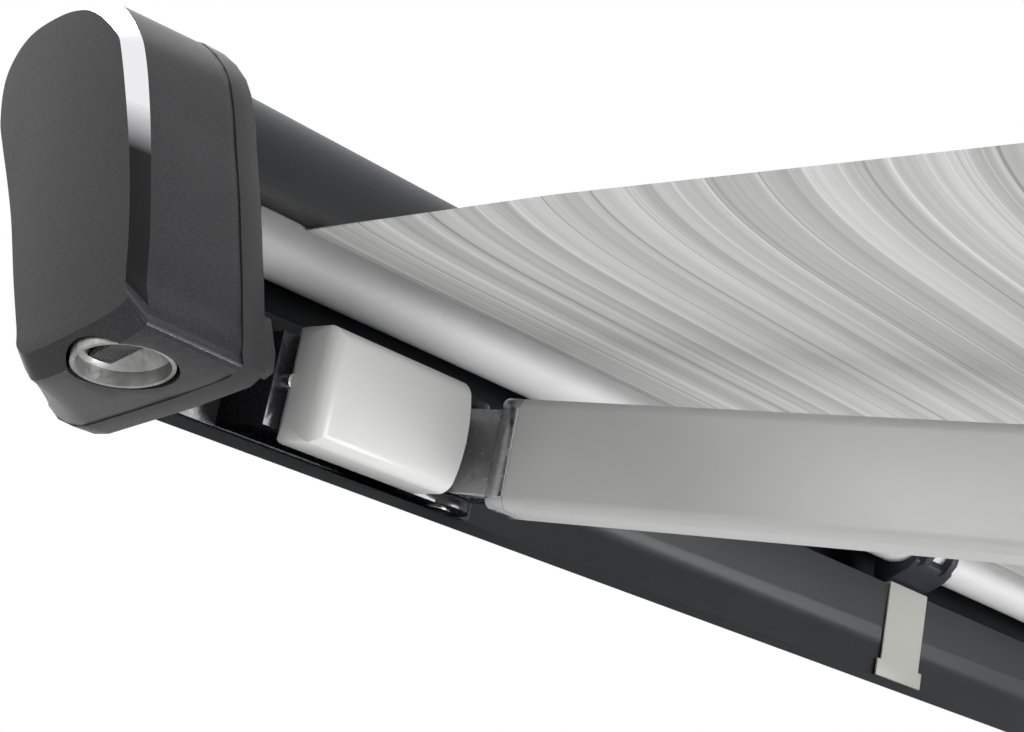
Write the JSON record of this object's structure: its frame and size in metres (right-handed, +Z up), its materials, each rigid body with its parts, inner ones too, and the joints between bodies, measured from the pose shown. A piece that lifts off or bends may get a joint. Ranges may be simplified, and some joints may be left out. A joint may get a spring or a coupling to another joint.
{
  "type": "roll out awning",
  "caption": "Wall cassette awning with folding arms, crank wound fabric roller, striped canopy and a lead rail with support legs.",
  "frame": {"origin": "on the wall, midway between the four bolts of the middle wall bracket", "axes": "+X along the cassette to the right as seen from outside, +Y into the wall, +Z up"},
  "size_m": [2.59, 1.9954, 1.7603],
  "materials": {
    "anthracite_paint": "fine metallic flake, satin",
    "black_plastic": "moulded, matt",
    "black_rubber": "matt",
    "zinc_steel": "zinc plated",
    "silver_casting": "light grey satin paint",
    "dark_casting": "dark satin",
    "grey_strip": "warm grey",
    "bronze_bush": "smooth acetal",
    "striped_fabric": "woven, grey and white stripes",
    "silver_tube": "satin anodised",
    "socket_metal": "as cast, dull"
  },
  "bodies": {
    "cassette": {"housing_profile": "anthracite_paint", "lip_seal": "black_rubber", "left_cap_base": "black_plastic", "right_cap_base": "black_plastic", "left_cap_cover": "anthracite_paint", "right_cap_cover": "anthracite_paint", "cap_screws": "zinc_steel", "left_shoulder_block": "silver_casting", "right_shoulder_block": "silver_casting", "shoulder_plates": "dark_casting", "shoulder_bolts": "zinc_steel", "shoulder_pins": "zinc_steel", "wall_brackets": "dark_casting", "roller_straps": "grey_strip", "roller_cradles": "black_plastic", "winding_gearbox": "dark_casting", "roller_bushes": "bronze_bush", "canopy": "striped_fabric"},
    "roller": {"roller_tube": "silver_tube", "left_roller_plug": "black_plastic", "right_roller_plug": "black_plastic", "fabric_roll": "striped_fabric"},
    "crank_drive": {"crank_cup": "socket_metal", "crank_shaft": "dark_casting"},
    "left_upper_arm": {"left_upper_arm_tube": "silver_tube", "left_shoulder_knuckle": "dark_casting", "left_elbow_fork": "dark_casting", "left_elbow_pin": "zinc_steel"},
    "left_forearm": {"left_forearm_tube": "silver_tube", "left_elbow_knuckle": "dark_casting", "left_front_knuckle": "dark_casting"},
    "right_upper_arm": {"right_upper_arm_tube": "silver_tube", "right_shoulder_knuckle": "dark_casting", "right_elbow_fork": "dark_casting", "right_elbow_pin": "zinc_steel"},
    "right_forearm": {"right_forearm_tube": "silver_tube", "right_elbow_knuckle": "dark_casting", "right_front_knuckle": "dark_casting"},
    "lead_rail": {"lead_rail_profile": "anthracite_paint", "left_rail_cap": "black_plastic", "right_rail_cap": "black_plastic", "left_arm_bracket": "dark_casting", "right_arm_bracket": "dark_casting", "front_pins": "zinc_steel", "leg_pins": "zinc_steel", "keder_rod": "striped_fabric"},
    "left_leg": {"left_leg_tube": "silver_tube", "left_leg_collar": "black_plastic"},
    "left_leg_lower": {"left_leg_inner": "silver_tube", "left_leg_foot": "black_plastic"},
    "left_leg_clamp": {"left_leg_lever": "black_plastic"},
    "right_leg": {"right_leg_tube": "silver_tube", "right_leg_collar": "black_plastic"},
    "right_leg_lower": {"right_leg_inner": "silver_tube", "right_leg_foot": "black_plastic"},
    "right_leg_clamp": {"right_leg_lever": "black_plastic"}
  },
  "joints": [
    {"name": "left_shoulder", "type": "hinge", "parent": "cassette", "child": "left_upper_arm", "pos_m": [-1.095, -0.0485, -0.03], "axis": [0, -0.284, 0.9588], "range_deg": [0, 77.3], "deforming": ["canopy"]},
    {"name": "left_elbow", "type": "hinge", "parent": "left_upper_arm", "child": "left_forearm", "pos_m": [-0.88295, -1.0052, -0.31339], "axis": [0, -0.284, 0.9588], "range_deg": [-154.6, 0]},
    {"name": "left_front", "type": "hinge", "parent": "left_forearm", "child": "lead_rail", "pos_m": [-1.095, -1.96191, -0.59678], "axis": [0, -0.284, 0.9588], "range_deg": [0, 77.3]},
    {"name": "right_shoulder", "type": "hinge", "parent": "cassette", "child": "right_upper_arm", "pos_m": [1.095, -0.0485, -0.03], "axis": [0, -0.284, 0.9588], "range_deg": [-77.3, 0]},
    {"name": "right_elbow", "type": "hinge", "parent": "right_upper_arm", "child": "right_forearm", "pos_m": [0.88295, -1.0052, -0.31339], "axis": [0, -0.284, 0.9588], "range_deg": [0, 154.6]},
    {"name": "roller_turn", "type": "hinge", "parent": "cassette", "child": "roller", "pos_m": [-1.05, -0.046, 0.036], "axis": [1, 0, 0], "continuous": true},
    {"name": "crank_turn", "type": "hinge", "parent": "cassette", "child": "crank_drive", "pos_m": [-1.2755, -0.0837, -0.058], "axis": [0, 0, 1], "continuous": true},
    {"name": "left_leg_drop", "type": "hinge", "parent": "lead_rail", "child": "left_leg", "pos_m": [-1.2, -1.98224, -0.62018], "axis": [0, 1, 0], "range_deg": [-90, 0]},
    {"name": "left_leg_slide", "type": "slide", "parent": "left_leg", "child": "left_leg_lower", "axis": [0, 0, -1], "range_m": [0, 0.8]},
    {"name": "left_clamp_flip", "type": "hinge", "parent": "left_leg", "child": "left_leg_clamp", "pos_m": [-1.2053, -1.98224, -1.62418], "axis": [0, 1, 0], "range_deg": [0, 95]},
    {"name": "right_leg_drop", "type": "hinge", "parent": "lead_rail", "child": "right_leg", "pos_m": [1.2, -1.98224, -0.62018], "axis": [0, -1, 0], "range_deg": [-90, 0]},
    {"name": "right_leg_slide", "type": "slide", "parent": "right_leg", "child": "right_leg_lower", "axis": [0, 0, -1], "range_m": [0, 0.8]},
    {"name": "right_clamp_flip", "type": "hinge", "parent": "right_leg", "child": "right_leg_clamp", "pos_m": [1.2053, -1.98224, -1.62418], "axis": [0, -1, 0], "range_deg": [0, 95]}
  ],
  "couplings": [
    {"joint": "left_shoulder", "follows": "right_elbow", "ratio": 0.5},
    {"joint": "left_elbow", "follows": "right_elbow", "ratio": -1},
    {"joint": "left_front", "follows": "right_elbow", "ratio": 0.5},
    {"joint": "right_shoulder", "follows": "right_elbow", "ratio": -0.5},
    {"joint": "crank_turn", "follows": "roller_turn", "ratio": 7}
  ]
}
